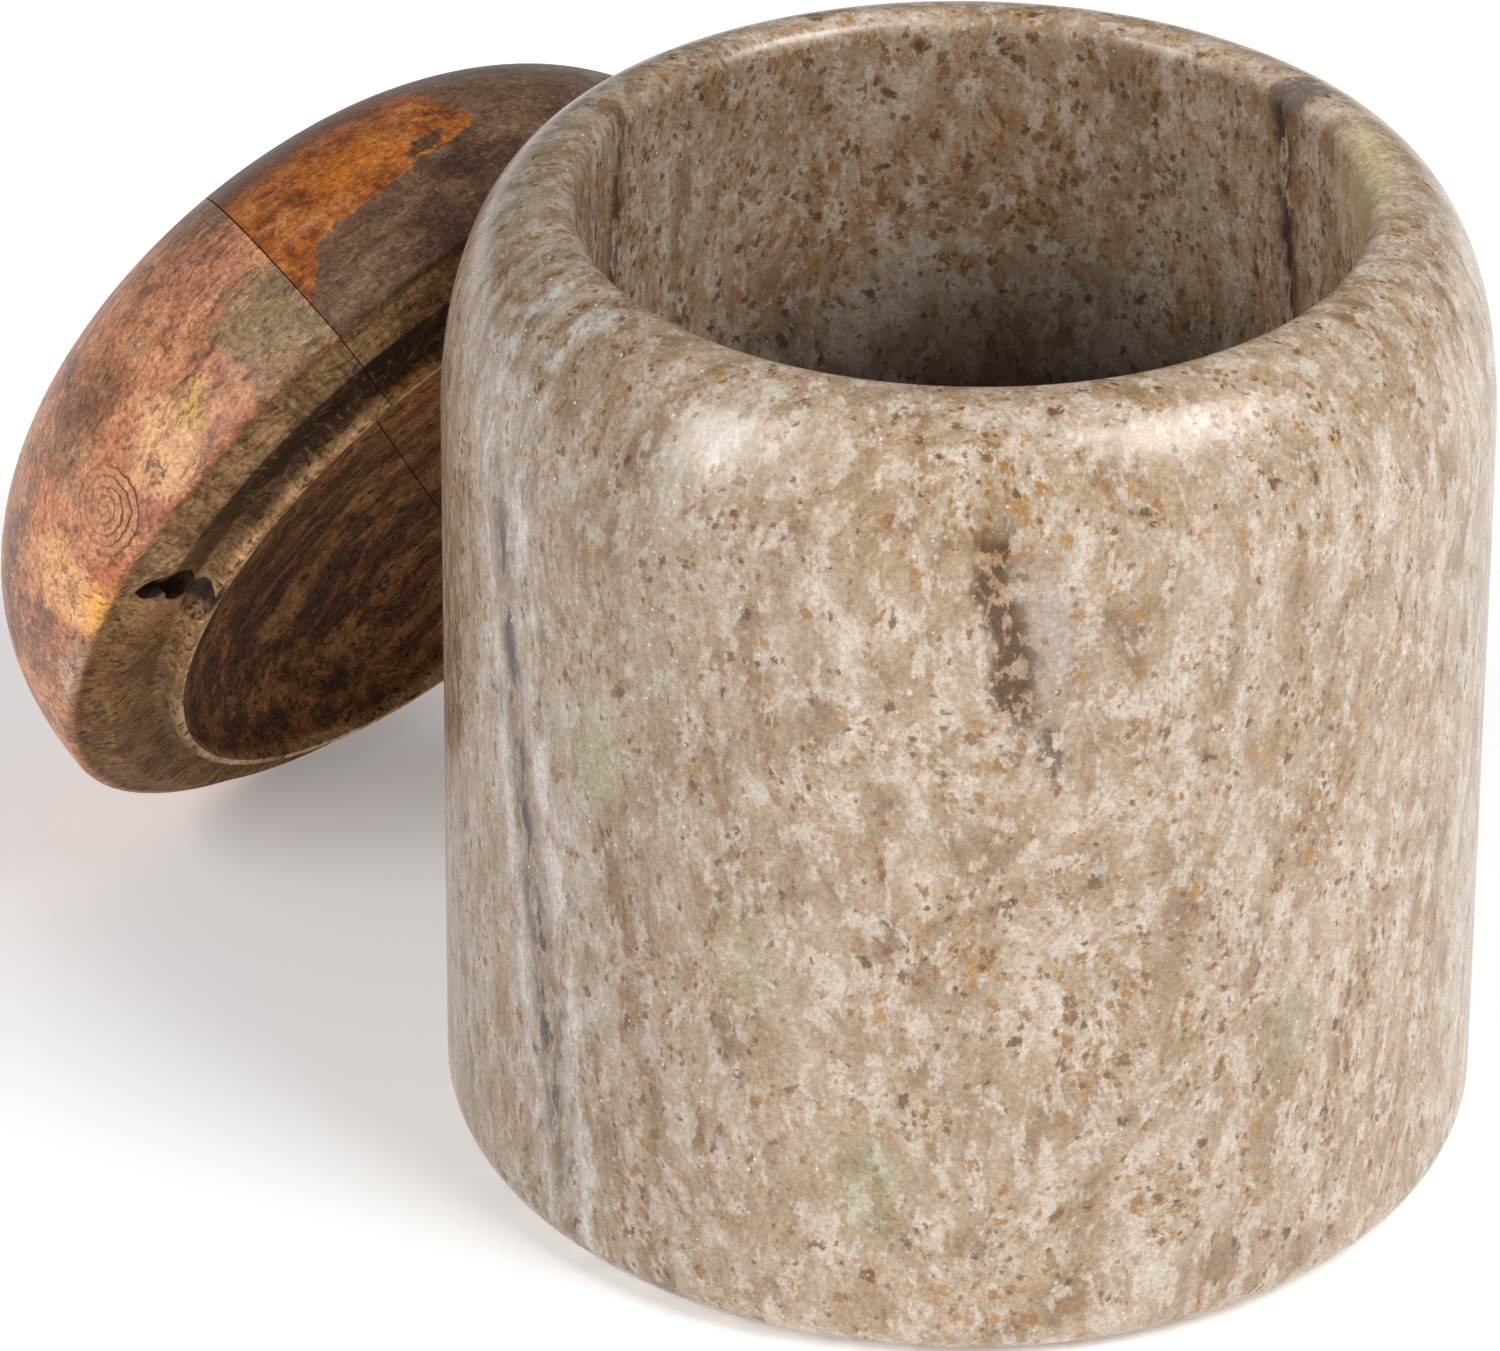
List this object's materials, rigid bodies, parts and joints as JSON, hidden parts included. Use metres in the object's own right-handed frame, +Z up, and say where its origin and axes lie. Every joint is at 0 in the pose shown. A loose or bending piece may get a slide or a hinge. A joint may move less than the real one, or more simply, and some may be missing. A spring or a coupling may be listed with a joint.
{
  "type": "lidded canister",
  "caption": "Thick-walled round marble pot with a deep bore, and a domed wooden lid that plugs into it, shown taken off and leaning against the pot.",
  "frame": {"origin": "centre of the pot's bottom face", "axes": "+Z up along the pot's axis, out of its mouth; +Y away from the side the lid's seat faces, with the leaning lid towards -X and +Y"},
  "size_m": [0.1469, 0.1415, 0.0985],
  "materials": {
    "marble": "polished beige marble with brown and grey streaks and rust-brown specks",
    "wood_knotty": "waxed mango wood, pinkish tan with a knot",
    "wood_dark": "waxed mango wood, grey-brown with an orange patch"
  },
  "bodies": {
    "pot": {"marble_pot": "marble"},
    "lid": {"lid_board_knotty": "wood_knotty", "lid_board_dark": "wood_dark"}
  },
  "joints": [
    {"name": "lid_lift", "type": "slide", "parent": "pot", "child": "lid", "axis": [0, 0, 1], "range_m": [0, 0.12]}
  ]
}
